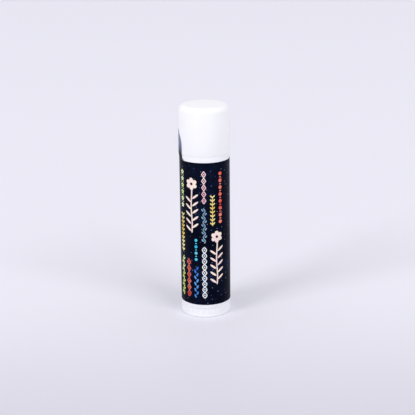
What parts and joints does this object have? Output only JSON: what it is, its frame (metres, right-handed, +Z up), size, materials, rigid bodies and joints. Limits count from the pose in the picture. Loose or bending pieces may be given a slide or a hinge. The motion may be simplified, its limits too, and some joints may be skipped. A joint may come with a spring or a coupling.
{
  "type": "lip balm stick",
  "caption": "Twist-up lip balm stick: white capped tube with a ridged turning wheel, inner screw and elevator, dark star-flecked label and a tamper tab.",
  "frame": {"origin": "centre of the base, on the surface that the turning wheel stands on", "axes": "+Z up the tube's axis towards the cap; -Y towards the front of the label; the tamper tab is on the -X side"},
  "size_m": [0.0163, 0.0162, 0.069],
  "materials": {
    "wheel_plastic": "semi-gloss",
    "barrel_plastic": "semi-gloss",
    "cup_plastic": "satin",
    "balm": "waxy",
    "cap_plastic": "semi-gloss",
    "label_film": "gloss",
    "tab_film": "gloss"
  },
  "bodies": {
    "barrel": {"barrel": "barrel_plastic", "label_wrap": "label_film"},
    "wheel": {"screw_wheel": "wheel_plastic"},
    "elevator": {"elevator_cup": "cup_plastic", "balm_stick": "balm"},
    "cap": {"cap": "cap_plastic", "tamper_tab": "tab_film"}
  },
  "joints": [
    {"name": "wheel_turn", "type": "hinge", "parent": "barrel", "child": "wheel", "pos_m": [0, 0, 0], "axis": [0, 0, 1], "range_deg": [0, 720]},
    {"name": "balm_rise", "type": "slide", "parent": "barrel", "child": "elevator", "axis": [0, 0, 1], "range_m": [0, 0.008]},
    {"name": "cap_pull", "type": "slide", "parent": "barrel", "child": "cap", "axis": [0, 0, 1], "range_m": [0, 0.035]}
  ],
  "couplings": [
    {"joint": "wheel_turn", "follows": "balm_rise", "rad_per_m": 1570.8}
  ]
}
